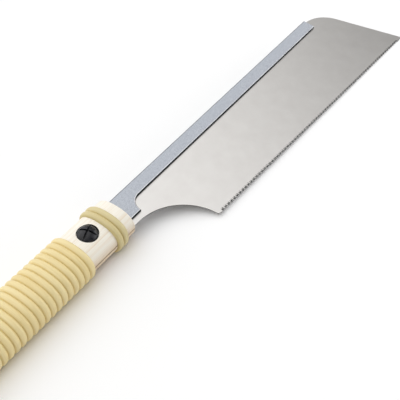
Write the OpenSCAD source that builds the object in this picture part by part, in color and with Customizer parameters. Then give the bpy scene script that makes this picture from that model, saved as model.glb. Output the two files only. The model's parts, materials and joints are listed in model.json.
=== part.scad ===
// Dozuki, a fine pull saw whose thin plate is stiffened by a folded steel spine.
// The wooden handle is split in the plane of the plate, bound with cane and closed by one screw.
// The saw lies on its side as it rests on a bench: on the grip's winding and on the toe.
// Sizes are in millimetres and angles in degrees. X runs toward the toe, Y toward the spine, Z up.
// Before it is laid down, the saw is drawn with the plate in the XY plane, the first tooth at
// x = 0 and the back of the spine at y = 0.

/* [Plate] */
// Thickness of the saw plate
plate_t = 0.3; // [0.25:0.01:0.4]
// Number of teeth
teeth = 150; // [110:1:170]
// Spacing of the teeth along the tooth line
tooth_pitch = 1; // [0.9:0.02:1.2]
// Height of a tooth
tooth_h = 1.5; // [0.8:0.1:1.8]
// Depth of the plate at the heel, from the back of the spine to the tips of the teeth
heel_depth = 38.5; // [34:0.5:44]
// Slope of the tooth line against the spine
tooth_slope = 2.7; // [0:0.1:4]
// Plain length behind the first tooth
heel_pad = 2.6; // [1.5:0.1:5]
// Plain length ahead of the last tooth
toe_pad = 4.5; // [3:0.1:8]
// Rise of both plain lengths above the line of the tips
pad_rise = 0.6; // [0.3:0.05:1]
// Slant of the toe edge from square
toe_slant = 14.2; // [0:0.2:20]
// Radius of the corner above the toe
toe_r = 14.3; // [8:0.1:18]
// Depth of the plate at the handle, from the back of the spine
throat_depth = 15.3; // [13.5:0.1:16]
// Length of plate inside the handle
plate_tang = 11; // [6:0.5:12]

/* [Spine] */
// Thickness of the folded sheet
sheet_t = 1; // [0.7:0.05:1.2]
// Outer radius of the fold
fold_r = 0.6; // [0.2:0.05:0.8]
// Depth of the fold
spine_h = 6.6; // [5:0.1:9]
// Distance from the end of the spine forward to the end of the tooth line
spine_setback = 17.6; // [14:0.2:25]
// Depth of the wide tang
tang_depth = 12.6; // [11:0.1:13.4]
// Reach of the wide tang ahead of the handle
tang_reach = 14.2; // [9:0.1:18]
// Length of the tang behind the screw
tang_tail = 10; // [6:0.5:14]
// Gap at each side of the plate inside the fold
plate_fit = 0.01; // [0.005:0.005:0.02]

/* [Handle] */
// Bare plate between the hollow neck and the handle
nose_gap = 3.2; // [1:0.1:6]
// Width of the handle, in the plane of the plate
handle_w = 18.8; // [18:0.2:24]
// Thickness of the handle, across the plate
handle_t = 13.6; // [12:0.2:18]
// Power of the handle's oval, where 2 gives an ellipse
oval_power = 2.3; // [2:0.1:3]
// Distance from the back of the spine to the axis of the handle
handle_drop = 6.9; // [6.5:0.1:7.5]
// Bare wood behind the grip
butt_len = 11.2; // [8:0.1:30]
// Rounding of the butt
butt_r = 2.5; // [1:0.25:4]
// Rounding of the nose
nose_r = 0.6; // [0.2:0.1:1]
// Slit between the two halves, which the screw closes
kerf = 0.8; // [0.6:0.05:1.2]
// Length of the slit behind the tang
kerf_tail = 3; // [1:0.5:8]
// Gap at each face of the tang in its socket
tang_fit = 0.1; // [0.05:0.01:0.2]
// Gap round the edges of the tang
tang_gap = 0.3; // [0.2:0.05:0.5]

/* [Cane] */
// Width of the cane
cane_w = 2.6; // [2:0.05:3.2]
// Thickness of the cane
cane_h = 1; // [0.8:0.05:1.6]
// Gap between turns of the winding
cane_gap = 0.45; // [0.42:0.01:0.8]
// Turns in the collar at the nose
collar_turns = 2; // [1:1:4]
// Turns in the front winding of the grip
front_turns = 24; // [16:1:24]
// Turns in the rear winding of the grip
rear_turns = 24; // [16:1:24]
// Wood ahead of the collar
collar_back = 4; // [2:0.1:8]
// Distance from the collar to the axis of the screw
screw_gap = 4.8; // [4.6:0.05:10]
// Distance from the axis of the screw to the grip
grip_gap = 6.35; // [4.6:0.05:9]
// Depth of the bed cut into the wood under the cane
cane_bed = 0.3; // [0.28:0.01:0.4]
// Sections of cane in one turn
turn_sections = 14; // [12:2:16]

/* [Screw] */
// Diameter of the head
head_d = 8.2; // [7:0.1:9]
// Thickness of the head at its rim
rim_t = 1.2; // [0.8:0.1:1.5]
// Height of the domed top of the head
dome_h = 2.1; // [0.4:0.1:2.4]
// Width of the crossed slots
slot_w = 0.8; // [0.5:0.1:1.2]
// Depth of the crossed slots below the top
slot_depth = 1.6; // [0.6:0.1:2]
// Angle of the first slot from the axis of the saw
slot_turn = 18; // [0:1:90]
// Diameter of the shank
shank_d = 4; // [3:0.1:4.4]
// Depth of the seats of the screw and the nut below the wood
seat_depth = 1.6; // [1.2:0.1:2]
// Gap under the head
seat_gap = 0.05; // [0.02:0.01:0.1]
// Gap round the shank in the wood and in the tang
shank_gap = 0.3; // [0.2:0.05:0.5]
// Gap round the head and the flange in their seats
head_gap = 0.35; // [0.15:0.05:0.5]
// Running gap between the shank and the bore of the nut
thread_fit = 0.05; // [0.02:0.01:0.08]
// Diameter of the sleeve of the nut
sleeve_d = 6; // [5.2:0.1:6.6]
// Gap round the sleeve in the wood
sleeve_fit = 0.05; // [0.03:0.01:0.1]
// Thickness of the flange of the nut
flange_t = 1.2; // [0.8:0.1:1.5]
// Wall left at the closed end of the nut
nut_floor = 0.5; // [0.3:0.1:0.8]

/* [Hidden] */

// A tooth leans back: where its tip and the end of its top facet lie along the pitch,
// and how far the top facet falls over the pitch
tip_at = 0.42;
facet_at = 0.62;
facet_fall = 0.3;
// Plain land between the outer teeth and the pads, in pitches
pad_land = 0.5;
// Steps in each arc of an outline, and in half of the oval
arc_steps = 20;
oval_steps = 32;
// Turns of a fixed-point search for the angle at which the saw lies
rest_steps = 12;
// Sides of the round holes and pins
round_sides = 48;
// Overlap that keeps cuts clean
cut = 1;
// Thickness of the slices between which a rounded end is stretched
slice = 0.1;
// Shares of the cane's width that the bench flattens and that its crown takes,
// and of its height up to its shoulders
flat_share = 0.1;
crown_share = 0.5;
shoulder_share = 0.45;
// Sections of cane from the lowest line of the oval to the start of a winding
start_section = 1.5;
// First guess of the angle at which the saw lies
rest_guess = 10;

// Places along the saw
tooth_line = teeth * tooth_pitch;
neck_r = heel_depth - throat_depth;
neck_x = -heel_pad - neck_r;
nose_x = neck_x - nose_gap;
plate_end = nose_x - plate_tang;
cane_pitch = cane_w + cane_gap;
collar_x = nose_x - collar_back;
collar_end = collar_x - collar_turns * cane_pitch - cane_w;
screw_x = collar_end - screw_gap;
grip_x = screw_x - grip_gap;
grip_end = grip_x - (front_turns + rear_turns) * cane_pitch - cane_w;
butt_x = grip_end - butt_len;
tang_end = screw_x - tang_tail;
kerf_end = tang_end - kerf_tail;
tang_x = nose_x + tang_reach;
spine_end = tooth_line * cos(tooth_slope) - spine_setback;

// Thickness of the spine, and half thickness of the socket that takes it
spine_t = 2 * sheet_t + plate_t + 2 * plate_fit;
socket_z = spine_t / 2 + tang_fit;

// Half sizes of the handle's oval, and its axis
oval_y = handle_w / 2;
oval_z = handle_t / 2;
axis_y = -handle_drop;

// Heights of the screw and the nut, measured from the plane of the plate
seat_z = oval_z - seat_depth;
sleeve_top = -socket_z - shank_gap;
nut_face = -seat_z - flange_t;
bore_end = nut_face + nut_floor;
shank_end = bore_end + nut_floor;

// A point along the tooth line at distance s, raised by h above the tips
function tooth_point(s, h) = [
    s * cos(tooth_slope) + h * sin(tooth_slope),
    -heel_depth - s * sin(tooth_slope) + h * cos(tooth_slope)
];

// Points on an arc about c
function arc(c, r, from, to) = [
    for (i = [0 : arc_steps]) let(a = from + (to - from) * i / arc_steps) c + r * [cos(a), sin(a)]
];

// The handle's oval: a point at parameter t and its outward normal, as [y, z]
function signed_power(v, p) = sign(v) * pow(abs(v), p);
function oval_point(t) = [
    oval_y * signed_power(cos(t), 2 / oval_power),
    oval_z * signed_power(sin(t), 2 / oval_power)
];
function oval_slope(t) = [
    signed_power(cos(t), 2 - 2 / oval_power) / oval_y,
    signed_power(sin(t), 2 - 2 / oval_power) / oval_z
];
function oval_normal(t) = oval_slope(t) / norm(oval_slope(t));
function half_oval(inset) = [
    for (i = [0 : oval_steps])
        let(t = 180 * i / oval_steps)
        oval_point(t) - inset * oval_normal(t) + [axis_y, 0]
];

// Reach of the wound grip below its axis when the saw is rolled by the angle r
dual_power = oval_power / (oval_power - 1);
function grip_reach(r) =
    pow(pow(oval_y * sin(r), dual_power) + pow(oval_z * cos(r), dual_power), 1 / dual_power) + cane_h;

// Depth by which the bench flattens the cane
cane_flat = flat_share * cane_w;

// Angle at which the flat under the grip and the lowest point of the toe share the bench
toe_low = tooth_point(tooth_line + pad_land * tooth_pitch, 0);
function rest_angle(r, steps) =
    steps == 0 ? r : rest_angle(
        asin((grip_reach(r) - cane_flat - plate_t / 2 * cos(r)) / (axis_y - toe_low.y)),
        steps - 1
    );
roll = rest_angle(rest_guess, rest_steps);
lift = grip_reach(roll) - cane_flat - axis_y * sin(roll);

// Height of a point above the bench once the saw is laid down, and its place across the bench
function height(p) = p.y * sin(roll) + p.z * cos(roll) + lift;
function across(p) = p.y * cos(roll) - p.z * sin(roll);
function pressed(p) = p - min(0, height(p)) * [0, sin(roll), cos(roll)];

// Section of the cane number k of a winding that starts at x: a low dome with a flat foot.
// The sections straddle the lowest line of the oval, so that each turn has a flat there.
section_step = 360 / turn_sections;
low_t = 180 + atan2(1, pow(oval_y * tan(roll) / oval_z, 1 / (2 - 2 / oval_power)));
shoulder_h = shoulder_share * cane_h;
crown_w = crown_share * cane_w;
dome = [
    [-cane_w / 2, 0],
    [cane_w / 2, 0],
    [cane_w / 2, shoulder_h],
    [crown_w / 2, cane_h],
    [-crown_w / 2, cane_h],
    [-cane_w / 2, shoulder_h]
];
// The cane goes square round the upper side, and steps on to its next turn on the lower side:
// turns from the start of a winding to section k, as far as they move along the handle.
lower_sections = turn_sections / 2;
upper_start = ceil((360 - low_t) / section_step - start_section);
function advance(k) =
    let(into_turn = k % turn_sections)
    floor(k / turn_sections)
    + (min(into_turn, upper_start) + max(into_turn - upper_start - lower_sections, 0)) / lower_sections;
function section(x, k) =
    let(
        t = low_t + (k + start_section) * section_step,
        base = oval_point(t) + [axis_y, 0],
        n = oval_normal(t),
        middle = x - cane_w / 2 - cane_pitch * advance(k)
    )
    [for (q = dome) pressed([middle + q.x, base.x + n.x * q.y, base.y + n.y * q.y])];

// Sections of a winding from number k0 to k1, cut square in the middle of its outer stretches
function winding(x, k0, k1) = [
    (section(x, k0) + section(x, k0 + 1)) / 2,
    for (k = [k0 + 1 : k1 - 1]) section(x, k),
    (section(x, k1 - 1) + section(x, k1)) / 2
];
front_count = front_turns * turn_sections;
grip_count = front_count + rear_turns * turn_sections;
front_sections = winding(grip_x, 0, front_count);
rear_sections = winding(grip_x, front_count - 1, grip_count);
collar_sections = winding(collar_x, 0, collar_turns * turn_sections);

// Least distance between points of a winding that lie one turn apart
function turn_gap(w) = min([
    for (i = [1 : len(w) - turn_sections - 2], d = [-1 : 1], p = w[i], q = w[i + turn_sections + d])
        norm(p - q)
]);
echo(least_gap_front = turn_gap(front_sections));
echo(least_gap_rear = turn_gap(rear_sections));
echo(least_gap_collar = turn_gap(collar_sections));

// Place of the saw on the bench: its middle lies over the origin
toe_corner = tooth_point(tooth_line + toe_pad, pad_rise);
grip_across = max([for (k = [0 : turn_sections], p = section(0, k)) across(p)]);
toe_across = across([toe_low.x, toe_low.y, plate_t / 2]);
module laid_down() {
    translate([-(butt_x + toe_corner.x) / 2, -(grip_across + toe_across) / 2, lift])
        rotate([roll, 0, 0])
            children();
}

// An outline in the plane of the plate, made t thick about that plane
module sheet(t) {
    translate([0, 0, -t / 2])
        linear_extrude(t)
            children();
}

// A section given as [y, z], drawn along the saw from x0 to x1
module along(x0, x1) {
    translate([x0, 0, 0])
        rotate([90, 0, 90])
            linear_extrude(x1 - x0)
                children();
}

module plate_outline() {
    toe_run = (toe_corner.y + sheet_t) * tan(toe_slant);
    toe_top = [toe_corner.x + toe_run, -sheet_t];
    toe_tangent = toe_r / tan(45 + toe_slant / 2);
    polygon(concat(
        [[plate_end, -throat_depth]],
        arc([neck_x, -heel_depth], neck_r, 90, asin(pad_rise / neck_r)),
        [tooth_point(-pad_land * tooth_pitch, 0)],
        [
            for (k = [0 : teeth - 1])
                each [
                    tooth_point(k * tooth_pitch, tooth_h),
                    tooth_point((k + tip_at) * tooth_pitch, 0),
                    tooth_point((k + facet_at) * tooth_pitch, facet_fall * tooth_pitch)
                ]
        ],
        [tooth_point(tooth_line, tooth_h), toe_low, toe_corner],
        arc(toe_top - [toe_tangent, toe_r], toe_r, toe_slant, 90),
        [[plate_end, -sheet_t]]
    ));
}

module fold_section() {
    polygon(concat(
        [[-spine_h, -spine_t / 2]],
        arc([-fold_r, fold_r - spine_t / 2], fold_r, -90, 0),
        arc([-fold_r, spine_t / 2 - fold_r], fold_r, 0, 90),
        [[-spine_h, spine_t / 2]]
    ));
}

// Room for the plate between the leaves of the fold
module plate_room() {
    gap = plate_t + 2 * plate_fit;
    translate([-tang_depth - cut, -gap / 2])
        square([tang_depth + cut - sheet_t, gap]);
}

module tang_outline() {
    shoulder_r = tang_depth - spine_h;
    polygon(concat(
        [[tang_end, -spine_h / 2], [tang_x, -spine_h / 2]],
        arc([tang_x, -tang_depth], shoulder_r, 90, 180),
        [[tang_end, -tang_depth]]
    ));
}

// Slot in the tang, open to the rear, that slips over the shank
module shank_slot() {
    r = shank_d / 2 + shank_gap;
    translate([screw_x, axis_y])
        circle(r, $fn = round_sides);
    translate([tang_end - cut, axis_y - r])
        square([screw_x - tang_end + cut, 2 * r]);
}

// One half of the wood above the plane of the plate, before its holes are bored.
// The wood runs through under the cane, and stands up to its full oval beside it.
module half_blank() {
    hull() {
        along(butt_x, butt_x + slice) polygon(half_oval(butt_r));
        along(butt_x + butt_r, butt_x + butt_r + slice) polygon(half_oval(0));
    }
    along(butt_x + butt_r, nose_x - nose_r) polygon(half_oval(cane_bed));
    along(butt_x + butt_r, grip_end) polygon(half_oval(0));
    along(grip_x, collar_end) polygon(half_oval(0));
    along(collar_x, nose_x - nose_r) polygon(half_oval(0));
    hull() {
        along(nose_x - nose_r - slice, nose_x - nose_r) polygon(half_oval(0));
        along(nose_x - slice, nose_x) polygon(half_oval(nose_r));
    }
}

// Room for the tang, and the slit round it
module socket() {
    translate([tang_end - tang_gap, -tang_depth - tang_gap, -socket_z])
        cube([nose_x - tang_end + tang_gap + cut, tang_depth + 2 * tang_gap, 2 * socket_z]);
    translate([kerf_end, axis_y - oval_y - cut, -kerf / 2])
        cube([nose_x - kerf_end + cut, handle_w + 2 * cut, kerf]);
}

// A hole on the axis of the screw from height z0 to z1
module bore(d, z0, z1) {
    translate([screw_x, axis_y, z0])
        cylinder(d = d, h = z1 - z0, $fn = round_sides);
}

// A winding of cane as one tube with triangular faces
module cane(w) {
    sides = len(dome);
    last = (len(w) - 1) * sides;
    polyhedron(
        points = [for (s = w) each s],
        faces = concat(
            [for (j = [1 : sides - 2]) [0, j, j + 1]],
            [
                for (i = [0 : len(w) - 2], j = [0 : sides - 1])
                    let(
                        a = i * sides + j,
                        b = i * sides + (j + 1) % sides
                    )
                    each [[a, a + sides, b], [b, a + sides, b + sides]]
            ],
            [for (j = [1 : sides - 2]) [last, last + j + 1, last + j]]
        ),
        convexity = 10
    );
}

module blade() {
    color("#cfccc7")
        laid_down()
            sheet(plate_t)
                plate_outline();
}

module spine() {
    color("#b4b7c2")
        laid_down()
            difference() {
                union() {
                    along(tang_end, spine_end) fold_section();
                    sheet(spine_t) tang_outline();
                }
                along(tang_end - cut, spine_end + cut) plate_room();
                sheet(spine_t + cut) shank_slot();
            }
}

module handle_upper_half() {
    color("#f0e8da")
        laid_down()
            difference() {
                half_blank();
                socket();
                bore(shank_d + 2 * shank_gap, -cut, oval_z);
                bore(head_d + 2 * head_gap, seat_z, oval_z + cut);
            }
}

module handle_lower_half() {
    color("#e6dac6")
        laid_down()
            difference() {
                mirror([0, 0, 1]) half_blank();
                socket();
                bore(sleeve_d + 2 * sleeve_fit, -oval_z, cut);
                bore(head_d + 2 * head_gap, -oval_z - cut, -seat_z);
            }
}

module collar_wrap() {
    color("#e2cd8c")
        laid_down()
            cane(collar_sections);
}

module grip_wrap_front() {
    color("#e4d092")
        laid_down()
            cane(front_sections);
}

module grip_wrap_rear() {
    color("#dfc985")
        laid_down()
            cane(rear_sections);
}

module clamp_screw() {
    // The dome is a cap of the sphere that passes through the rim and the top
    dome_r = (pow(head_d / 2, 2) + pow(dome_h, 2)) / (2 * dome_h);
    under = seat_z + seat_gap;
    top = under + rim_t + dome_h;
    color("#2d2d2f")
        laid_down()
            translate([screw_x, axis_y, 0])
                difference() {
                    rotate_extrude($fn = round_sides)
                        polygon(concat(
                            [[0, shank_end], [shank_d / 2, shank_end]],
                            [[shank_d / 2, under], [head_d / 2, under]],
                            arc([0, top - dome_r], dome_r, acos(head_d / 2 / dome_r), 90)
                        ));
                    for (turn = [0, 90])
                        rotate([0, 0, slot_turn + turn])
                            translate([-head_d, -slot_w / 2, top - slot_depth])
                                cube([2 * head_d, slot_w, slot_depth + cut]);
                }
}

module sleeve_nut() {
    color("#3a3a3c")
        laid_down()
            difference() {
                union() {
                    bore(sleeve_d, nut_face, sleeve_top);
                    bore(head_d, nut_face, -seat_z);
                }
                bore(shank_d + 2 * thread_fit, bore_end, sleeve_top + cut);
            }
}

blade();
spine();
handle_upper_half();
handle_lower_half();
collar_wrap();
grip_wrap_front();
grip_wrap_rear();
clamp_screw();
sleeve_nut();
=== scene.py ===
"""Looks of a dozuki saw: satin plate, folded spine, split wood handle bound with cane, black screw.

Every piece is drawn in the saw's own frame, with the plate in the XY plane, the first tooth at x = 0
and the back of the spine at y = 0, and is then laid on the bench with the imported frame's screw axis.
Sizes are in metres, and MM turns millimetres into metres.
"""
import json
import math
from types import SimpleNamespace

import bmesh
import bpy
import numpy as np
from bpy.props import FloatProperty, FloatVectorProperty, IntProperty, PointerProperty
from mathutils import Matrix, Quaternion, Vector


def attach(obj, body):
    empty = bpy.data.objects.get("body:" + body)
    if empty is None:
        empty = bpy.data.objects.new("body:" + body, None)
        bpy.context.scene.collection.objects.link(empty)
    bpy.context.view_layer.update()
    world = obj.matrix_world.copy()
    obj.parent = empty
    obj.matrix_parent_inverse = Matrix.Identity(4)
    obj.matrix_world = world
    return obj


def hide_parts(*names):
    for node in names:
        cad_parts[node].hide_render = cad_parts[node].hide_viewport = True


bl_info = {
    "name": "Dozuki Saw",
    "version": (1, 0, 0),
    "blender": (4, 5, 0),
    "location": "View3D > Sidebar > Dozuki",
    "description": "Builds the finished pieces of a dozuki saw round its packed frame",
    "category": "Add Mesh",
}

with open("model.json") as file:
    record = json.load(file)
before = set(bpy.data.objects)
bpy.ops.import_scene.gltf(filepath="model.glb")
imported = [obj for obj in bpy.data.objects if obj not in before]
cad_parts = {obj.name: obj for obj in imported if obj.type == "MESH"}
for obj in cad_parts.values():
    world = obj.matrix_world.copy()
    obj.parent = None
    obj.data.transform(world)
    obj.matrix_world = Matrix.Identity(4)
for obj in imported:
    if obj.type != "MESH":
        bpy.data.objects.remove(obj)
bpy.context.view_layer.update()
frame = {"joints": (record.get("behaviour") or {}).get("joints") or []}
MM = 0.001

# The solid winds its cane in straight stretches, so many to a turn. In turns: from the lowest line of
# the handle to the start of a winding, and from there to the upper side, which takes half a turn.
STRETCHES = 14
WIND_START = 1.5 / STRETCHES
WIND_UPPER = 3 / STRETCHES

# Points on each drawn curve, from the lip of the screw's head to half the oval of the handle
LIP_POINTS = 5
EDGE_POINTS = 6
CORNER_POINTS = 8
BEND_POINTS = 9
CAP_POINTS = 14
CROWN_POINTS = 21
TANG_POINTS = 24
SLOT_POINTS = 33
LEAF_POINTS = 40
NECK_POINTS = 64
TURN_POINTS = 96
OVAL_POINTS = 97
# Rows of points up the plate, and the longest step between two stations of the handle
PLATE_ROWS = 7
STATION_STEP = 2.5 * MM
# Points nearer to each other than this are merged
MERGE = 0.002 * MM
# Height of the marks in a surface, for its bump
RELIEF_H = 0.05 * MM
# The floor lies so far under the saw
FLOOR_GAP = 0.02 * MM
# Width of the camera's frame, in millimetres
FRAME_W = 36

# The screw's hinge gives the saw's place on the bench: its axis is the normal of the plate, and
# its point is where that axis crosses the middle plane of the plate.
SCREW_HINGE = next(joint for joint in frame["joints"] if joint["name"] == "screw_turn")
PLATE_UP = np.array(SCREW_HINGE["axis"], float)
SCREW_AT = np.array(SCREW_HINGE["pos_m"], float)
SAW_AXES = np.array([[1.0, 0.0, 0.0], np.cross(PLATE_UP, [1.0, 0.0, 0.0]), PLATE_UP])


def linear(hex_colour):
    """Linear RGBA of an sRGB hex colour."""
    srgb = np.array([int(hex_colour[i:i + 2], 16) for i in (1, 3, 5)]) / 255
    rgb = np.where(srgb <= 0.04045, srgb / 12.92, ((srgb + 0.055) / 1.055) ** 2.4)
    return (*rgb.tolist(), 1.0)


def number(name, description, value, unit="NONE"):
    """A plain number property."""
    return FloatProperty(name=name, description=description, default=value, unit=unit)


def whole_number(name, description, value):
    """A property that counts things."""
    return IntProperty(name=name, description=description, default=value, min=1)


def location(name, description, at):
    """A place on the bench or over it, in metres."""
    return FloatVectorProperty(name=name, description=description, default=at, subtype="TRANSLATION")


def length(name, description, mm):
    """A length property whose default is given in millimetres."""
    return FloatProperty(name=name, description=description, default=mm * MM, unit="LENGTH", precision=5)


def angle(name, description, degrees):
    """An angle property whose default is given in degrees."""
    return FloatProperty(name=name, description=description, default=math.radians(degrees), subtype="ANGLE")


def colour(name, description, hex_colour):
    """A colour property whose default is an sRGB hex colour."""
    return FloatVectorProperty(
        name=name, description=description, default=linear(hex_colour), subtype="COLOR", size=4, min=0, max=1)


class PlateSizes(bpy.types.PropertyGroup):
    """Sizes of the toothed plate."""
    thickness: length("Thickness", "Thickness of the saw plate", 0.3)
    teeth: whole_number("Teeth", "Number of teeth", 150)
    pitch: length("Tooth pitch", "Spacing of the teeth along the tooth line", 1)
    tooth_h: length("Tooth height", "Height of a tooth", 1.5)
    bevel: length("Tooth bevel", "Steel ground off one face at the tip of a tooth", 0.2)
    bevel_rise: length("Bevel rise", "Height of the ground bevel above the edge of a tooth", 0.7)
    heel_depth: length("Heel depth", "From the back of the spine to the tips at the heel", 38.5)
    slope: angle("Tooth slope", "Slope of the tooth line against the spine", 2.7)
    heel_pad: length("Heel pad", "Plain length behind the first tooth", 2.6)
    toe_pad: length("Toe pad", "Plain length ahead of the last tooth", 4.5)
    pad_rise: length("Pad rise", "Rise of both plain lengths above the line of the tips", 0.6)
    toe_slant: angle("Toe slant", "Slant of the toe edge from square", 14.2)
    toe_r: length("Toe radius", "Radius of the corner above the toe", 14.3)
    throat_depth: length("Throat depth", "Depth of the plate at the handle", 15.3)
    tang: length("Tang", "Length of plate inside the handle", 11)


class SpineSizes(bpy.types.PropertyGroup):
    """Sizes of the folded spine."""
    sheet: length("Sheet", "Thickness of the folded sheet", 1)
    fold_r: length("Fold radius", "Outer radius of the fold", 0.6)
    edge_r: length("Edge radius", "Rounding of the edges of the leaves", 0.45)
    depth: length("Depth", "Depth of the fold", 6.6)
    setback: length("Setback", "From the end of the spine forward to the end of the tooth line", 17.6)
    corner_r: length("Corner radius", "Rounding of the lower corner at the far end", 0.6)
    tang_depth: length("Tang depth", "Depth of the wide tang", 12.6)
    tang_reach: length("Tang reach", "Reach of the wide tang ahead of the handle", 14.2)
    tang_tail: length("Tang tail", "Length of the tang behind the screw", 10)
    plate_fit: length("Plate fit", "Gap at each side of the plate inside the fold", 0.01)


class HandleSizes(bpy.types.PropertyGroup):
    """Sizes of the split handle."""
    nose_gap: length("Nose gap", "Bare plate between the hollow neck and the handle", 3.2)
    width: length("Width", "Width of the handle in the plane of the plate", 18.8)
    thickness: length("Thickness", "Thickness of the handle across the plate", 13.6)
    power: number("Oval power", "Power of the oval, where 2 is an ellipse", 2.3)
    drop: length("Drop", "From the back of the spine to the axis of the handle", 6.9)
    butt: length("Butt", "Bare wood behind the grip", 11.2)
    butt_r: length("Butt radius", "Rounding of the butt", 2.5)
    nose_r: length("Nose radius", "Rounding of the nose", 0.6)
    kerf: length("Slit", "Slit between the two halves", 0.8)
    kerf_tail: length("Slit tail", "Length of the slit behind the tang", 3)
    arris: length("Arris", "Small bevel along the edges of the slit", 0.15)
    tang_fit: length("Tang fit", "Gap at each face of the tang in its socket", 0.1)
    tang_gap: length("Tang gap", "Gap round the edges of the tang", 0.3)


class CaneSizes(bpy.types.PropertyGroup):
    """Sizes of the cane windings."""
    drawn_w: length("Solid width", "Width of the cane in the solid, which sets where its turns lie", 2.6)
    pitch: length("Pitch", "Advance of one turn", 3.05)
    width: length("Width", "Width of the finished cane", 3.04)
    height: length("Height", "Height of the finished cane above the wood", 1.25)
    side: length("Side", "Height of the finished cane's upright sides", 0.45)
    bed: length("Bed", "Depth to which the foot of the cane sinks into the wood", 0.08)
    collar_turns: whole_number("Collar turns", "Turns at the nose", 2)
    front_turns: whole_number("Front turns", "Turns of the front winding", 24)
    rear_turns: whole_number("Rear turns", "Turns of the rear winding", 24)
    collar_back: length("Collar back", "Wood ahead of the collar", 4)
    screw_gap: length("Screw gap", "From the collar to the axis of the screw", 4.8)
    grip_gap: length("Grip gap", "From the axis of the screw to the grip", 6.35)
    tuck: length("Tuck", "Length over which a loose end thins out", 6)


class ScrewSizes(bpy.types.PropertyGroup):
    """Sizes of the clamp screw and its sleeve nut."""
    head_d: length("Head", "Diameter of the head", 8.2)
    rim_t: length("Rim", "Thickness of the head at its rim", 1.2)
    dome_h: length("Dome", "Height of the domed top", 2.1)
    edge_r: length("Edge", "Rounding of the rim", 0.15)
    slot_w: length("Slot width", "Width of the crossed slots", 0.8)
    slot_depth: length("Slot depth", "Depth of the crossed slots below the top", 1.6)
    slot_turn: angle("Slot turn", "Angle of the first slot from the axis of the saw", 18)
    shank_d: length("Shank", "Diameter of the shank", 4)
    seat_depth: length("Seat depth", "Depth of the seats below the wood", 1.6)
    seat_gap: length("Seat gap", "Gap under the head", 0.05)
    shank_gap: length("Shank gap", "Gap round the shank in the wood and in the tang", 0.3)
    head_gap: length("Head gap", "Gap round the head in its seat", 0.35)
    thread_fit: length("Thread fit", "Gap between the shank and the bore of the nut", 0.05)
    sleeve_d: length("Sleeve", "Diameter of the sleeve of the nut", 6)
    sleeve_fit: length("Sleeve fit", "Gap round the sleeve in the wood", 0.05)
    flange_t: length("Flange", "Thickness of the flange of the nut", 1.2)
    nut_floor: length("Nut floor", "Wall left at the closed end of the nut", 0.5)


class Finishes(bpy.types.PropertyGroup):
    """Colours of the finished surfaces."""
    plate: colour("Plate", "Satin spring steel", "#D5D3D0")
    plate_dark: colour("Plate, dark", "Duller cloud in the satin", "#C9C6C3")
    spine: colour("Spine", "Blasted zinc plating", "#CED2D8")
    spine_dark: colour("Spine, dark", "Pits of the blasted plating", "#BCC0C8")
    # Painted highlight: a pale tint for the light caught along the leaf's rounded arris
    spine_edge_highlight: colour("Spine edge", "Dressed arris of the sheet", "#F2F3F5")
    # Painted shade: a darker, bluer grey for the shade on the fold and on the lower rounding of the leaves
    spine_fold: colour("Spine fold", "Plating stretched along the fold and the edges", "#464A54")
    # Painted shade: a dark tint on cut edges for the shadow under the plate; on the tooth bevels partly the
    # real dark of hardening
    cut_edge: colour("Cut edge", "Cut edges and hardened bevels of the plate", "#2E2D2C")
    wood: colour("Wood", "Early growth of cypress wood", "#FAF5E9")
    wood_dark: colour("Wood, dark", "Late growth of cypress wood", "#E4CBAA")
    # Painted shade: the wood turns to this brown toward the slit and over the lower half
    wood_painted_shade: colour("Wood, brown", "Wood toward the slit", "#D8BC98")
    cane: colour("Cane", "Skin of the cane", "#F3E2AD")
    cane_dark: colour("Cane, dark", "Riper stretches of the skin", "#EAD498")
    # Painted shade: the tint toward both edges of a strip, for the valleys between turns
    cane_valley_shade: colour("Cane edge", "Cut edge of the cane", "#E2CC8E")
    # Painted shade: the collar's colours are the grip's cane made darker, for the shade on the collar
    collar: colour("Collar", "Skin of the collar's older cane", "#DCCFA0")
    collar_dark: colour("Collar, dark", "Riper stretches of the collar's cane", "#D4C38D")
    collar_valley_shade: colour("Collar edge", "Cut edge of the collar's cane", "#CDBB83")
    # Painted shade: a dark tint for the shade in the gap round the screw's head
    seat: colour("Seat", "Wood blackened by the screw's oil and oxide", "#2B2622")
    screw: colour("Screw", "Black oxide", "#1E1E21")
    screw_worn: colour("Screw, worn", "Paler patches of the oxide", "#2E2E33")
    floor: colour("Floor", "Paper under the saw", "#FAFAFA")


class StageSizes(bpy.types.PropertyGroup):
    """Place of the camera and strength of the lights."""
    camera_at: location("Camera", "Place of the camera", (-0.15085377, -0.15666287, 0.21597572))
    camera_aim: location("Aim", "Point at the centre of the picture", (0.02358104, -0.01044882, 0.00900))
    camera_roll: angle("Roll", "Turn of the camera about its view", -7.19602)
    lens: number("Lens", "Focal length for a 36 mm frame", 69.46893, "CAMERA")
    floor_half: length("Floor", "Half width of the floor", 3000)
    sky_up: FloatVectorProperty(
        name="Sky axis", description="Direction in which the surround brightens",
        default=(-0.15, 0.35, 1.0), subtype="XYZ")
    sky_from: number("Sky from", "Share of the axis where brightening starts", 0.34)
    sky_to: number("Sky to", "Share of the axis where brightening ends", 0.84)
    sky_low: number("Low sky", "Brightness of the surround near the floor", 0.08)
    sky_high: number("High sky", "Brightness of the surround overhead", 1.39)
    panel_at: location("Panel", "Place of the soft light", (0.0, 1.0, 0.65))
    panel_w: length("Panel width", "Width of the soft light", 2000)
    panel_h: length("Panel height", "Height of the soft light", 1000)
    panel_power: number("Panel power", "Power of the soft light", 2.0, "POWER")
    fill_at: location("Fill", "Place of the low fill light", (0.9, -0.7, 0.32))
    fill_w: length("Fill width", "Width of the low fill light", 1600)
    fill_h: length("Fill height", "Height of the low fill light", 500)
    fill_power: number("Fill power", "Power of the low fill light", 5.8, "POWER")


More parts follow.
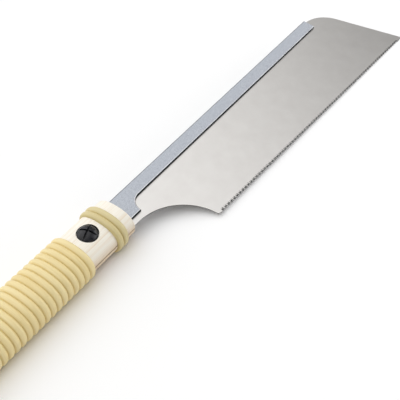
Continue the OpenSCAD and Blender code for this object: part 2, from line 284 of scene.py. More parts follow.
GROUPS = {
    "dozuki_plate": PlateSizes,
    "dozuki_spine": SpineSizes,
    "dozuki_handle": HandleSizes,
    "dozuki_cane": CaneSizes,
    "dozuki_screw": ScrewSizes,
    "dozuki_finish": Finishes,
    "dozuki_stage": StageSizes,
}


def saw(context):
    """The property groups and the places along the saw that follow from them."""
    s = SimpleNamespace(**{key.split("_")[1]: getattr(context.scene, key) for key in GROUPS})
    s.tooth_line = s.plate.teeth * s.plate.pitch
    s.neck_r = s.plate.heel_depth - s.plate.throat_depth
    s.neck_x = -s.plate.heel_pad - s.neck_r
    s.nose_x = s.neck_x - s.handle.nose_gap
    s.plate_end = s.nose_x - s.plate.tang
    s.collar_x = s.nose_x - s.cane.collar_back
    s.collar_end = s.collar_x - s.cane.collar_turns * s.cane.pitch - s.cane.drawn_w
    s.screw_x = s.collar_end - s.cane.screw_gap
    s.grip_x = s.screw_x - s.cane.grip_gap
    s.grip_end = s.grip_x - (s.cane.front_turns + s.cane.rear_turns) * s.cane.pitch - s.cane.drawn_w
    s.butt_x = s.grip_end - s.handle.butt
    s.tang_end = s.screw_x - s.spine.tang_tail
    s.kerf_end = s.tang_end - s.handle.kerf_tail
    s.tang_x = s.nose_x + s.spine.tang_reach
    s.spine_end = s.tooth_line * math.cos(s.plate.slope) - s.spine.setback
    s.spine_z = s.spine.sheet + s.plate.thickness / 2 + s.spine.plate_fit
    s.socket_z = s.spine_z + s.handle.tang_fit
    s.oval = np.array([s.handle.width / 2, s.handle.thickness / 2])
    s.axis_y = -s.handle.drop
    s.seat_z = s.oval[1] - s.screw.seat_depth
    s.axis_point = np.array([s.screw_x, s.axis_y, 0.0])
    return s


def on_bench(s, points):
    """Points of the saw's frame, moved to the bench: turned with the plate about the screw's axis."""
    return SCREW_AT + (np.asarray(points) - s.axis_point) @ SAW_AXES


def signed_power(v, p):
    """|v| to the power p, with the sign of v."""
    return np.sign(v) * np.abs(v) ** p


def oval_point(s, t):
    """Superellipse of the handle at parameter t: half sizes times cos and sin to the power 2 / n."""
    cs = np.stack([np.cos(t), np.sin(t)], -1)
    return s.oval * signed_power(cs, 2 / s.handle.power)


def oval_normal(s, t):
    """Outward normal of the superellipse: cos and sin to the power 2 - 2 / n over the half sizes."""
    cs = np.stack([np.cos(t), np.sin(t)], -1)
    n = signed_power(cs, 2 - 2 / s.handle.power) / s.oval
    return n / np.linalg.norm(n, axis=-1, keepdims=True)


def ring_faces(rows, ring, caps):
    """Quads between neighbouring closed rings of a grid, with a flat cap on each end ring if asked."""
    i = np.arange(rows - 1)[:, None] * ring
    j = np.arange(ring)[None, :]
    k = (j + 1) % ring
    quads = np.stack([i + j, i + k, i + ring + k, i + ring + j], -1).reshape(-1, 4).tolist()
    if caps:
        quads += [list(range(ring))[::-1], list(range((rows - 1) * ring, rows * ring))]
    return quads


def new_mesh(name, points, faces):
    """A mesh from points and faces, with doubled points merged and faces turned outwards."""
    mesh = bpy.data.meshes.new(name)
    mesh.from_pydata(np.asarray(points).reshape(-1, 3).tolist(), [], faces)
    work = bmesh.new()
    work.from_mesh(mesh)
    bmesh.ops.remove_doubles(work, verts=work.verts, dist=MERGE)
    bmesh.ops.recalc_face_normals(work, faces=work.faces)
    work.to_mesh(mesh)
    work.free()
    mesh.validate()
    return mesh


def ring_mesh(s, name, rings, caps=True):
    """A mesh of closed rings of points of the saw's frame, on the bench."""
    return new_mesh(name, on_bench(s, rings), ring_faces(*rings.shape[:2], caps))


def slab_mesh(s, outline, low, high):
    """A closed slab on the bench: a flat outline between two heights over the middle of the plate."""
    return ring_mesh(s, "slot", np.stack([
        np.column_stack([outline, np.full(len(outline), z)]) for z in (low, high)]))


def new_object(name, mesh):
    """An object at the origin that holds a mesh."""
    piece = bpy.data.objects.new(name, mesh)
    bpy.context.scene.collection.objects.link(piece)
    return piece


def ring_piece(s, name, rings, caps=True):
    """An object made of closed rings of points of the saw's frame."""
    return new_object(name, ring_mesh(s, name, rings, caps))


def cut_away(piece, cutters):
    """Cuts closed meshes out of a piece and applies the result to its mesh."""
    for mesh in cutters:
        tool = new_object("cutter", mesh)
        cut = piece.modifiers.new("cut", "BOOLEAN")
        cut.operation = "DIFFERENCE"
        cut.solver = "EXACT"
        cut.object = tool
        depsgraph = bpy.context.evaluated_depsgraph_get()
        result = bpy.data.meshes.new_from_object(piece.evaluated_get(depsgraph))
        piece.modifiers.remove(cut)
        piece.data = result
        bpy.data.objects.remove(tool)
        if not result.polygons:
            raise RuntimeError(f"cutting {piece.name} left nothing of it")


def finish_piece(piece, material, node, body, crease):
    """Shades a piece, gives it its material and lets it stand for a node of the frame on a body."""
    piece.data.shade_smooth()
    piece.data.set_sharp_from_angle(angle=math.radians(crease))
    piece.data.materials.clear()
    piece.data.materials.append(material)
    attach(piece, body)
    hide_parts(node)


def paint_faces(piece, index, *materials):
    """Adds materials to a piece and gives each face the one of its index."""
    for material in materials:
        piece.data.materials.append(material)
    piece.data.polygons.foreach_set("material_index", index.astype(np.int32))


def saw_normals(piece):
    """Normals of a piece's faces in the saw's own frame."""
    normals = np.empty(3 * len(piece.data.polygons), np.float32)
    piece.data.polygons.foreach_get("normal", normals)
    return normals.reshape(-1, 3) @ SAW_AXES.T


def faces_near(piece, point, reach):
    """Which faces of a piece have their middle within reach of a point on the bench."""
    middles = np.empty(3 * len(piece.data.polygons), np.float32)
    piece.data.polygons.foreach_get("center", middles)
    return np.linalg.norm(middles.reshape(-1, 3) - point, axis=1) < reach


def turned(s, profile):
    """Rings of a profile of radius and height pairs, turned about the screw's axis."""
    a = np.linspace(0, 2 * math.pi, TURN_POINTS, endpoint=False)
    r, z = np.asarray(profile, float).T[..., None]
    return np.stack(np.broadcast_arrays(r * np.cos(a), r * np.sin(a), z), -1) + s.axis_point


def arc_points(centre, radius, start, stop, count):
    """Points on a circle between two angles."""
    a = np.linspace(start, stop, count)
    return np.asarray(centre) + radius * np.stack([np.cos(a), np.sin(a)], -1)


def feed(node, inputs):
    """Sets inputs of a node, each to a value or to the socket that feeds it."""
    for key, value in inputs.items():
        if isinstance(value, bpy.types.NodeSocket):
            node.id_data.links.new(value, node.inputs[key])
        else:
            node.inputs[key].default_value = value


def add_node(tree, kind, inputs=None, **settings):
    """Adds a node with its settings and its inputs."""
    node = tree.nodes.new(kind)
    for key, value in settings.items():
        setattr(node, key, value)
    feed(node, inputs or {})
    return node


def new_material(name):
    """A material with its node tree and its main shader."""
    material = bpy.data.materials.new(name)
    material.use_nodes = True
    tree = material.node_tree
    return material, tree, tree.nodes["Principled BSDF"]


def dress(shader, tint, marks, rough, inputs, smoothest=0.3, relief=None):
    """Gives a shader its tint, and a roughness and a bump that follow the same marks.

    The roughness runs from rough[0] to rough[1] while the marks run from smoothest to 0.7. Without a
    relief there is no bump.
    """
    tree = shader.id_data
    sheen = add_node(tree, "ShaderNodeMapRange", {
        "Value": marks, "From Min": smoothest, "From Max": 0.7, "To Min": rough[0], "To Max": rough[1]})
    feed(shader, {"Base Color": tint, "Roughness": sheen.outputs[0], **inputs})
    if relief:
        bump = add_node(tree, "ShaderNodeBump", {
            "Height": marks, "Strength": relief, "Distance": RELIEF_H})
        feed(shader, {"Normal": bump.outputs[0]})


def satin_spring_steel(finish):
    """Cold-rolled spring steel, ground and satin polished along its length.

    The eye sees a soft, nearly colourless mirror, with hair-fine lines and faint duller clouds.
    """
    material, tree, shader = new_material("satin_spring_steel")
    place = add_node(tree, "ShaderNodeTexCoord").outputs["Object"]
    # Polishing lines are about 0.02 mm wide; drawn 0.3 mm wide and 40 mm long so that they show
    lines_at = add_node(tree, "ShaderNodeMapping", {
        "Vector": place, "Scale": (1 / (40 * MM), 1 / (0.3 * MM), 1 / (0.3 * MM))})
    lines = add_node(tree, "ShaderNodeTexNoise", {"Vector": lines_at.outputs[0], "Scale": 1.0, "Detail": 3.0})
    # Duller clouds are about 6 mm across
    clouds = add_node(tree, "ShaderNodeTexNoise", {"Vector": place, "Scale": 1 / (6 * MM), "Detail": 4.0})
    tint = add_node(tree, "ShaderNodeMix", {
        0: clouds.outputs["Fac"], 6: finish.plate, 7: finish.plate_dark}, data_type="RGBA")
    dress(
        shader, tint.outputs[2], lines.outputs["Fac"], (0.275, 0.305), {"Metallic": 1.0}, relief=0.02)
    return material


def blasted_zinc(finish):
    """Mild steel sheet, folded, bead blasted and zinc plated.

    The eye sees a dull blue-grey metal with a fine speckle of brighter and darker grains.
    """
    material, tree, shader = new_material("blasted_zinc")
    place = add_node(tree, "ShaderNodeTexCoord").outputs["Object"]
    # Blasting leaves pits of about 0.1 mm; drawn 0.4 mm wide so that they show
    grains = add_node(tree, "ShaderNodeTexNoise", {
        "Vector": place, "Scale": 1 / (0.4 * MM), "Detail": 2.0, "Roughness": 0.6})
    tint_share = add_node(tree, "ShaderNodeMapRange", {
        "Value": grains.outputs["Fac"], "From Min": 0.35, "From Max": 0.65})
    tint = add_node(tree, "ShaderNodeMix", {
        0: tint_share.outputs[0], 6: finish.spine_dark, 7: finish.spine}, data_type="RGBA")
    dress(
        shader, tint.outputs[2], grains.outputs["Fac"], (0.80, 0.68), {"Metallic": 1.0}, relief=0.12)
    return material


def uneven_sheen(name, tint, mark, detail, rough, inputs, smoothest=0.3):
    """A surface of one tint, whose roughness changes over marks of a size."""
    material, tree, shader = new_material(name)
    place = add_node(tree, "ShaderNodeTexCoord").outputs["Object"]
    marks = add_node(tree, "ShaderNodeTexNoise", {"Vector": place, "Scale": 1 / mark, "Detail": detail})
    dress(shader, tint, marks.outputs["Fac"], rough, inputs, smoothest)
    return material


def cut_edge(finish):
    """Steel where a sheet was sheared, or ground and then hardened, in a dark tint that is mostly painted
    shade.

    The eye sees a dark, dull line with short scratches across it, and dark bevels on every other tooth. The
    dark tint is painted shade for the shadow in the gullets, under the hollow neck and along the spine's
    leaves. On the bevels of the teeth it is partly the real dark of hardening.
    """
    # Grinding scratches are about 0.05 mm wide; drawn 0.2 mm wide so that they show
    return uneven_sheen("cut_edge", finish.cut_edge, 0.2 * MM, 2.0, (0.5, 0.7), {"Metallic": 1.0})


def burnished_edge(finish):
    """Zinc-plated sheet along the arris of its sheared edge, dressed smoother, in a pale tint that is a
    painted highlight.

    The eye sees a thin, smooth, bright line along the edge, broken by short duller stretches. The pale tint
    stands for the light that the rounded arris catches.
    """
    # Duller stretches are about 4 mm long
    return uneven_sheen(
        "burnished_edge", finish.spine_edge_highlight, 4 * MM, 3.0, (0.3, 0.5), {"Metallic": 1.0}, smoothest=0.35)


def stretched_plating(finish):
    """Zinc-plated sheet along its fold and its rounded edges, in a darker, bluer grey that is painted shade.

    The eye sees narrow bands of a darker, bluer grey along the back and above the plate. They stand for the
    shade and the dark reflection on the curves that turn away from the light.
    """
    # Duller stretches are about 6 mm long
    return uneven_sheen(
        "stretched_plating", finish.spine_fold, 6 * MM, 3.0, (0.5, 0.65), {"Metallic": 1.0}, smoothest=0.35)


def blackened_wood(finish):
    """Wood in the seat of a screw, in a dark tint that is painted shade.

    The eye sees a dark, matt ring round the head, which stands for the shade in the gap between the head and
    its seat.
    """
    # Roughness changes over bundles of fibres about 0.5 mm wide
    return uneven_sheen(
        "blackened_wood", finish.seat, 0.5 * MM, 2.0, (0.7, 0.95), {"Specular IOR Level": 0.2})


def bare_cypress(finish):
    """Cypress wood, planed and sanded, with no varnish.

    The eye sees a pale cream with a few straight, narrow, slightly pink lines along the grain, and a
    browner tone toward the slit and below it, which is painted shade on the side turned from the light.
    """
    material, tree, shader = new_material("bare_cypress")
    place = add_node(tree, "ShaderNodeTexCoord").outputs["Object"]
    # Growth lines lie about 0.9 mm apart and run for about 200 mm
    growth_at = add_node(tree, "ShaderNodeMapping", {
        "Vector": place, "Scale": (1 / (200 * MM), 1 / (0.9 * MM), 1 / (3 * MM))})
    growth = add_node(tree, "ShaderNodeTexNoise", {
        "Vector": growth_at.outputs[0], "Scale": 1.0, "Detail": 2.0})
    # Fibres are about 0.05 mm wide; drawn 0.25 mm wide so that they show
    fibre_at = add_node(tree, "ShaderNodeMapping", {
        "Vector": place, "Scale": (1 / (8 * MM), 1 / (0.25 * MM), 1 / (0.25 * MM))})
    fibre = add_node(tree, "ShaderNodeTexNoise", {"Vector": fibre_at.outputs[0], "Scale": 1.0, "Detail": 2.0})
    share = add_node(tree, "ShaderNodeMapRange", {
        "Value": growth.outputs["Fac"], "From Min": 0.5, "From Max": 0.75, "To Min": 0.0, "To Max": 0.5})
    late = add_node(tree, "ShaderNodeMix", {
        0: share.outputs[0], 6: finish.wood, 7: finish.wood_dark}, data_type="RGBA")
    streak = add_node(tree, "ShaderNodeMapRange", {
        "Value": fibre.outputs["Fac"], "From Min": 0.5, "From Max": 0.8, "To Min": 0.0, "To Max": 0.4})
    streaked = add_node(tree, "ShaderNodeMix", {
        0: streak.outputs[0], 6: late.outputs[2], 7: finish.wood_dark}, data_type="RGBA")
    # The painted shade starts about 5 mm above the slit, which lies in the plane of the plate, and is full at
    # the slit and below it
    height = add_node(tree, "ShaderNodeVectorMath", {0: place, 1: PLATE_UP}, operation="DOT_PRODUCT")
    slit_at = float(SCREW_AT @ PLATE_UP)
    brown = add_node(tree, "ShaderNodeMapRange", {
        "Value": height.outputs["Value"], "From Min": slit_at + 5 * MM, "From Max": slit_at,
        "To Min": 0.0, "To Max": 0.7}, interpolation_type="SMOOTHSTEP")
    tint = add_node(tree, "ShaderNodeMix", {
        0: brown.outputs[0], 6: streaked.outputs[2], 7: finish.wood_painted_shade}, data_type="RGBA")
    dress(
        shader, tint.outputs[2], fibre.outputs["Fac"], (0.5, 0.62), {"Specular IOR Level": 0.35}, relief=0.08)
    return material


def split_cane(name, skin, ripe_skin, cut):
    """Rattan cane, split and shaved to a half round, wound with its skin outwards.

    The eye sees a smooth satin straw yellow that changes along the strip, and fine lines along the
    strip. Toward both edges of the strip the tint turns browner, which is painted shade for the valleys
    between turns. The strip's own UV map holds millimetres along it and its width.
    """
    material, tree, shader = new_material(name)
    along = add_node(tree, "ShaderNodeUVMap", uv_map="strip").outputs[0]
    # Riper stretches are about 45 mm long
    ripe_at = add_node(tree, "ShaderNodeMapping", {"Vector": along, "Scale": (1 / 45, 0.3, 1.0)})
    ripe = add_node(tree, "ShaderNodeTexNoise", {"Vector": ripe_at.outputs[0], "Scale": 1.0, "Detail": 3.0})
    # Fibres are about 0.05 mm wide; drawn a tenth of the strip wide and 15 mm long so that they show
    fibre_at = add_node(tree, "ShaderNodeMapping", {"Vector": along, "Scale": (1 / 15, 10.0, 1.0)})
    fibre = add_node(tree, "ShaderNodeTexNoise", {"Vector": fibre_at.outputs[0], "Scale": 1.0, "Detail": 3.0})
    share = add_node(tree, "ShaderNodeMath", {
        0: ripe.outputs["Fac"], 1: fibre.outputs["Fac"]}, operation="ADD")
    skin_share = add_node(tree, "ShaderNodeMapRange", {
        "Value": share.outputs[0], "From Min": 0.75, "From Max": 1.25})
    skin_tint = add_node(tree, "ShaderNodeMix", {
        0: skin_share.outputs[0], 6: skin, 7: ripe_skin}, data_type="RGBA")
    across = add_node(tree, "ShaderNodeSeparateXYZ", {0: along}).outputs["Y"]
    off_centre = add_node(tree, "ShaderNodeMath", {0: across, 1: 0.5}, operation="SUBTRACT")
    from_middle = add_node(tree, "ShaderNodeMath", {0: off_centre.outputs[0]}, operation="ABSOLUTE")
    # Toward both edges of the strip the tint turns to the valley colour: painted shade between the turns
    edge = add_node(tree, "ShaderNodeMapRange", {
        "Value": from_middle.outputs[0], "From Min": 0.25, "From Max": 0.5}, interpolation_type="SMOOTHSTEP")
    tint = add_node(tree, "ShaderNodeMix", {
        0: edge.outputs[0], 6: skin_tint.outputs[2], 7: cut}, data_type="RGBA")
    dress(
        shader, tint.outputs[2], fibre.outputs["Fac"], (0.34, 0.44), {"Specular IOR Level": 0.4}, relief=0.05)
    return material


def black_oxide(finish):
    """Turned steel, blackened in a hot oxide bath and oiled.

    The eye sees a near black with a soft sheen, and paler patches where the oil has dried.
    """
    material, tree, shader = new_material("black_oxide")
    place = add_node(tree, "ShaderNodeTexCoord").outputs["Object"]
    # Dried patches are about 1.5 mm across
    patches = add_node(tree, "ShaderNodeTexNoise", {"Vector": place, "Scale": 1 / (1.5 * MM), "Detail": 4.0})
    share = add_node(tree, "ShaderNodeMapRange", {
        "Value": patches.outputs["Fac"], "From Min": 0.4, "From Max": 0.7})
    tint = add_node(tree, "ShaderNodeMix", {
        0: share.outputs[0], 6: finish.screw, 7: finish.screw_worn}, data_type="RGBA")
    dress(shader, tint.outputs[2], patches.outputs["Fac"], (0.22, 0.36), {"Specular IOR Level": 0.35})
    return material


def plate_columns(s):
    """Lower edge of the plate from the tang to the toe, and how far each point is ground on each face.

    The edge is a straight throat, a quarter circle, a plain heel, teeth that lean back, and a plain toe.
    """
    p = s.plate

    def tooth_point(along, rise):
        return np.stack([
            along * math.cos(p.slope) + rise * math.sin(p.slope),
            -p.heel_depth - along * math.sin(p.slope) + rise * math.cos(p.slope)], -1)

    # Shares of a pitch: the tip, the end of its top facet, that facet's fall, the land at each end
    tip_at, facet_at, facet_fall, land = 0.42, 0.62, 0.3, 0.5
    throat = np.linspace((s.plate_end, -p.throat_depth), (s.neck_x, -p.throat_depth), EDGE_POINTS)[:-1]
    neck = arc_points(
        (s.neck_x, -p.heel_depth), s.neck_r, math.pi / 2, math.asin(p.pad_rise / s.neck_r), NECK_POINTS)
    heel = tooth_point(np.array([-land * p.pitch]), np.array([0.0]))
    k = np.arange(p.teeth)[:, None]
    fall = facet_fall * p.pitch
    # Points at this share of the way down the two flanks keep the ground facets even
    down = 2 / 3
    steps = np.array([0, down * tip_at, tip_at, facet_at, 1 - down * (1 - facet_at)])
    rises = np.array([p.tooth_h, (1 - down) * p.tooth_h, 0, fall, p.tooth_h - down * (p.tooth_h - fall)])
    shares = np.array([0, down, 1, 1, down])
    teeth = tooth_point((k + steps).ravel() * p.pitch, np.tile(rises, p.teeth))
    toe = tooth_point(
        np.array([s.tooth_line, s.tooth_line + land * p.pitch, s.tooth_line + p.toe_pad]),
        np.array([p.tooth_h, 0, p.pad_rise]))
    edge = np.concatenate([throat, neck, heel, teeth, toe])
    ground = np.zeros((len(edge), 2))
    first = len(throat) + len(neck) + len(heel)
    even = k % 2 == 0
    ground[first:first + len(teeth)] = np.stack([even * shares, ~even * shares], -1).reshape(-1, 2) * p.bevel
    return edge, ground


def plate_back(s, x, corner):
    """Back edge of the plate over x: straight, then the corner's circle, then the slanted toe."""
    p = s.plate
    top = corner[0] + (corner[1] + s.spine.sheet) * math.tan(p.toe_slant)
    centre_x = top - p.toe_r / math.tan(math.pi / 4 + p.toe_slant / 2)
    centre_y = -s.spine.sheet - p.toe_r
    bow = centre_y + np.sqrt(np.maximum(p.toe_r ** 2 - (x - centre_x) ** 2, 0))
    slant = corner[1] + (corner[0] - x) / math.tan(p.toe_slant)
    back = np.where(x < centre_x, -s.spine.sheet, bow)
    return np.where(x < centre_x + p.toe_r * math.cos(p.toe_slant), back, slant)


class DOZUKI_OT_blade(bpy.types.Operator):
    """Build the toothed plate"""
    bl_idname = "dozuki.blade"
    bl_label = "Blade"

    def execute(self, context):
        s = saw(context)
        edge, ground = plate_columns(s)
        x, low = edge.T
        back = plate_back(s, x, edge[-1])
        # Where the plate runs out at the toe, the rows share what room there is
        room = np.maximum(back - low, 0)
        bevelled = low + np.minimum(s.plate.bevel_rise, room / 3)
        root = s.plate.tooth_h + s.plate.bevel_rise
        line = np.minimum(low + root, low + room / 2)
        upper = np.linspace(line, back, PLATE_ROWS, axis=-1)
        heights = np.concatenate([np.stack([low, bevelled], -1), upper], -1)
        half = s.plate.thickness / 2
        top = np.full(heights.shape, half)
        top[:, 0] -= ground[:, 0]
        under = np.full(heights.shape, -half)
        under[:, 0] += ground[:, 1]
        y = np.concatenate([heights, heights[:, ::-1]], 1)
        z = np.concatenate([top, under[:, ::-1]], 1)
        points = np.stack([np.broadcast_to(x[:, None], y.shape), y, z], -1)
        piece = ring_piece(s, "saw_blade", points)
        finish_piece(piece, satin_spring_steel(s.finish), "blade", "saw_plate", crease=12)
        # Faces that rise less than this are edges or bevels of the teeth
        flat_rise = 0.98
        # These faces take a dark tint: painted shade for the gullets and the hollow neck, and partly the real
        # dark of the hardened bevels
        dark = np.abs(saw_normals(piece)[:, 2]) < flat_rise
        paint_faces(piece, dark, cut_edge(s.finish))
        return {"FINISHED"}


def leaf_edge(s):
    """Lower edge of the spine's leaves from the tang to the far end, and its mitred inward normal.

    The edge is the tang's straight, a sharp corner, the shoulder's quarter circle and a long straight
    that turns up into the far end.
    """
    sp = s.spine
    shoulder = sp.tang_depth - sp.depth
    tang = np.linspace((s.tang_end, -sp.tang_depth), (s.tang_x - shoulder, -sp.tang_depth), TANG_POINTS)
    hollow = arc_points((s.tang_x, -sp.tang_depth), shoulder, math.pi, math.pi / 2, TANG_POINTS)[1:]
    far = s.spine_end - sp.edge_r
    long_edge = np.linspace((s.tang_x, -sp.depth), (far - sp.corner_r, -sp.depth), LEAF_POINTS)[1:]
    corner = arc_points(
        (far - sp.corner_r, sp.corner_r - sp.depth), sp.corner_r, -math.pi / 2, 0, CORNER_POINTS)[1:]
    edge = np.concatenate([tang, hollow, long_edge, corner])
    step = np.diff(edge, axis=0)
    step /= np.linalg.norm(step, axis=1, keepdims=True)
    side = np.stack([-step[:, 1], step[:, 0]], -1)
    before = np.concatenate([side[:1], side])
    after = np.concatenate([side, side[-1:]])
    normal = (before + after) / (1 + np.sum(before * after, 1, keepdims=True))
    return edge, normal


class DOZUKI_OT_spine(bpy.types.Operator):
    """Build the folded spine with its slotted tang"""
    bl_idname = "dozuki.spine"
    bl_label = "Spine"

    def execute(self, context):
        s = saw(context)
        sp = s.spine
        edge, normal = leaf_edge(s)
        half = s.spine_z
        gap = s.plate.thickness / 2 + sp.plate_fit
        rounding = arc_points((sp.edge_r, half - sp.edge_r), sp.edge_r, math.pi, math.pi / 2, EDGE_POINTS)
        fold = arc_points((-sp.fold_r, half - sp.fold_r), sp.fold_r, math.pi / 2, 0, BEND_POINTS)
        inner = edge + sp.edge_r * normal
        count = len(edge)

        def level(y, z):
            return np.column_stack([edge[:, 0], np.full((count, 2), (y, z))])

        def inset(depth, z):
            return np.column_stack([edge + depth * normal, np.full(count, z)])

        def face_row(share, z):
            flat = inner + share * (level(-sp.fold_r, z)[:, :2] - inner)
            return np.column_stack([flat, np.full(count, z)])

        # Half a ring: the rounded edge, three rows up the flat of the leaf, and the fold
        upper = [inset(0, gap)] + [inset(d, z) for d, z in rounding]
        upper += [face_row(share, half) for share in (0.25, 0.5, 0.75)]
        upper += [level(y, z) for y, z in fold]
        lower = [row * (1, 1, -1) for row in upper[::-1]]
        channel = [level(-sp.sheet, -gap), level(-sp.sheet, gap)]
        points = np.stack(upper + lower + channel, 1)
        # The far end is rounded by one more ring, drawn in toward the middle of the end
        middle = np.array([s.spine_end, -sp.depth / 2, 0.0])
        tip = points[-1:] + (middle - points[-1:]) * (1.0, 2 * sp.edge_r / sp.depth, sp.edge_r / half)
        piece = ring_piece(s, "spine_fold", np.concatenate([points, tip]))
        r = s.screw.shank_d / 2 + s.screw.shank_gap
        bow = arc_points((s.screw_x, s.axis_y), r, -math.pi / 2, math.pi / 2, SLOT_POINTS)
        tail = s.tang_end - r
        slot = np.concatenate([[[tail, s.axis_y - r]], bow, [[tail, s.axis_y + r]]])
        cut_away(piece, [slab_mesh(s, slot, -2 * half, 2 * half)])
        finish_piece(piece, blasted_zinc(s.finish), "spine", "saw_plate", crease=25)
        out = saw_normals(piece)
        rise, lean = np.abs(out[:, 2]), out[:, 1]
        # Rise at which the bands of a leaf's lower edge end, and their greatest lean toward the back
        sheared_to, dull_to, arris_to, below_lean = 0.4, 0.8, 0.995, 0.05
        # Least rise and lean of the faces along the fold
        fold_rise, fold_lean = 0.5, 0.15
        below = lean < below_lean
        # Bands painted for light: a pale painted highlight on the arris, and painted shade on the leaf's
        # lower wall, its lower rounding and the fold
        face, arris, sheared, shaded = range(4)
        index = np.select(
            [(rise > fold_rise) & (lean > fold_lean), below & (rise < sheared_to), below & (rise < dull_to),
             below & (rise < arris_to)],
            [shaded, sheared, shaded, arris], face)
        paint_faces(piece, index, burnished_edge(s.finish), cut_edge(s.finish), stretched_plating(s.finish))
        return {"FINISHED"}


def half_stations(s):
    """Stations along one half of the handle: place, inset of the oval, slit's half height, socket's top."""
    h = s.handle
    bend = np.linspace(0, math.pi / 2, BEND_POINTS)
    slit = h.kerf / 2
    socket_x = s.tang_end - h.tang_gap

    def rounded(x, r, *cuts):
        return np.stack(np.broadcast_arrays(
            x + r * (1 - np.sin(bend)), abs(r) * (1 - np.cos(bend)), *cuts), -1)

    body = [
        (s.kerf_end, 0, 0, 0), (s.kerf_end, 0, slit, slit),
        (socket_x, 0, slit, slit), (socket_x, 0, slit, s.socket_z),
    ]
    return np.concatenate([
        rounded(s.butt_x, h.butt_r, 0, 0)[::-1], body, rounded(s.nose_x, -h.nose_r, slit, s.socket_z)])


def refined(stations, step):
    """Stations with more put in between wherever two lie further apart than a step."""
    gaps = np.diff(stations, axis=0)
    counts = np.maximum(1, np.ceil(np.abs(gaps[:, 0]) / step)).astype(int)
    at = np.repeat(np.arange(len(gaps)), counts)
    share = (np.arange(len(at)) - (np.cumsum(counts) - counts)[at]) / counts[at]
    return np.concatenate([stations[at] + gaps[at] * share[:, None], stations[-1:]])


def half_handle(s, side):
    """One half of the handle: half a superellipse carried along the saw, with the socket in its flat.

    side is 1 for the upper half and -1 for the lower one.
    """
    h = s.handle
    stations = refined(half_stations(s), STATION_STEP)
    x, inset, slit, socket = stations.T
    t = np.linspace(0, math.pi, OVAL_POINTS)
    outer = oval_point(s, t)[None] - inset[:, None, None] * oval_normal(s, t)[None]
    floor = slit + h.arris
    y, z = outer[..., 0], np.maximum(outer[..., 1], floor[:, None])
    low_t = np.arcsin((floor / s.oval[1]) ** (h.power / 2))
    reach = oval_point(s, low_t)[:, 0] - inset
    y = np.clip(y, -reach[:, None], reach[:, None])
    ends = np.stack([-reach + h.arris, reach - h.arris])
    near = np.maximum(-s.spine.tang_depth - h.tang_gap - s.axis_y, ends[0])
    far = np.minimum(h.tang_gap - s.axis_y, ends[1])
    flat_y = np.stack([ends[0], near, near, far, far, ends[1]], -1)
    flat_z = np.stack([slit, slit, socket, socket, slit, slit], -1)
    y = np.concatenate([y, flat_y], 1) + s.axis_y
    z = np.concatenate([z, flat_z], 1)
    return np.stack([np.broadcast_to(x[:, None], y.shape), y, side * z], -1)


def bore_cutter(s, steps, side):
    """A stepped plug on the screw's axis, from pairs of diameter and height, for one side of the plate."""
    d, z = np.array(steps).T
    profile = np.stack([np.repeat(d[1:] / 2, 2), side * np.repeat(z, 2)[1:-1]], -1)
    return ring_mesh(s, "bore", turned(s, profile))


class DOZUKI_OT_handle(bpy.types.Operator):
    """Build the two halves of the handle"""
    bl_idname = "dozuki.handle"
    bl_label = "Handle"

    def execute(self, context):
        s = saw(context)
        sc = s.screw
        wood = bare_cypress(s.finish)
        blackened = blackened_wood(s.finish)
        past = s.oval[1] + 2 * MM
        seat = (sc.head_d + 2 * sc.head_gap, past)
        # The seat's walls are the upright faces within a little over its radius
        wall_rise, reach = 0.1, 0.6
        holes = {
            "upper": [(0, -MM), (sc.shank_d + 2 * sc.shank_gap, s.seat_z), seat],
            "lower": [(0, -MM), (sc.sleeve_d + 2 * sc.sleeve_fit, s.seat_z), seat],
        }
        for word, side in (("upper", 1), ("lower", -1)):
            piece = ring_piece(s, f"handle_{word}", half_handle(s, side))
            cut_away(piece, [bore_cutter(s, holes[word], side)])
            finish_piece(piece, wood, f"handle_{word}_half", "handle", crease=28)
            upright = np.abs(saw_normals(piece)[:, 2]) < wall_rise
            middle = on_bench(s, s.axis_point + (0, 0, side * (s.seat_z + s.oval[1]) / 2))
            # The seat's walls take a dark tint: painted shade in the gap round the head
            paint_faces(piece, upright & faces_near(piece, middle, reach * seat[0]), blackened)
        return {"FINISHED"}


def lowest_parameter(s):
    """Oval parameter of the line on which the handle lies: where the normal points straight down."""
    down = -SAW_AXES[:, 2]
    slope = np.abs(down[1:] * s.oval) ** (1 / (2 - 2 / s.handle.power))
    return math.pi + math.atan2(slope[1], slope[0])


def turns_along(turn):
    """Turns moved along the handle: none over the upper side, all of them steadily over the lower side."""
    whole = np.floor(turn)
    upper_end = WIND_UPPER + 0.5
    return whole + np.interp(
        turn - whole, [0, WIND_UPPER, upper_end, 1], [0, 2 * WIND_UPPER, 2 * WIND_UPPER, 1])


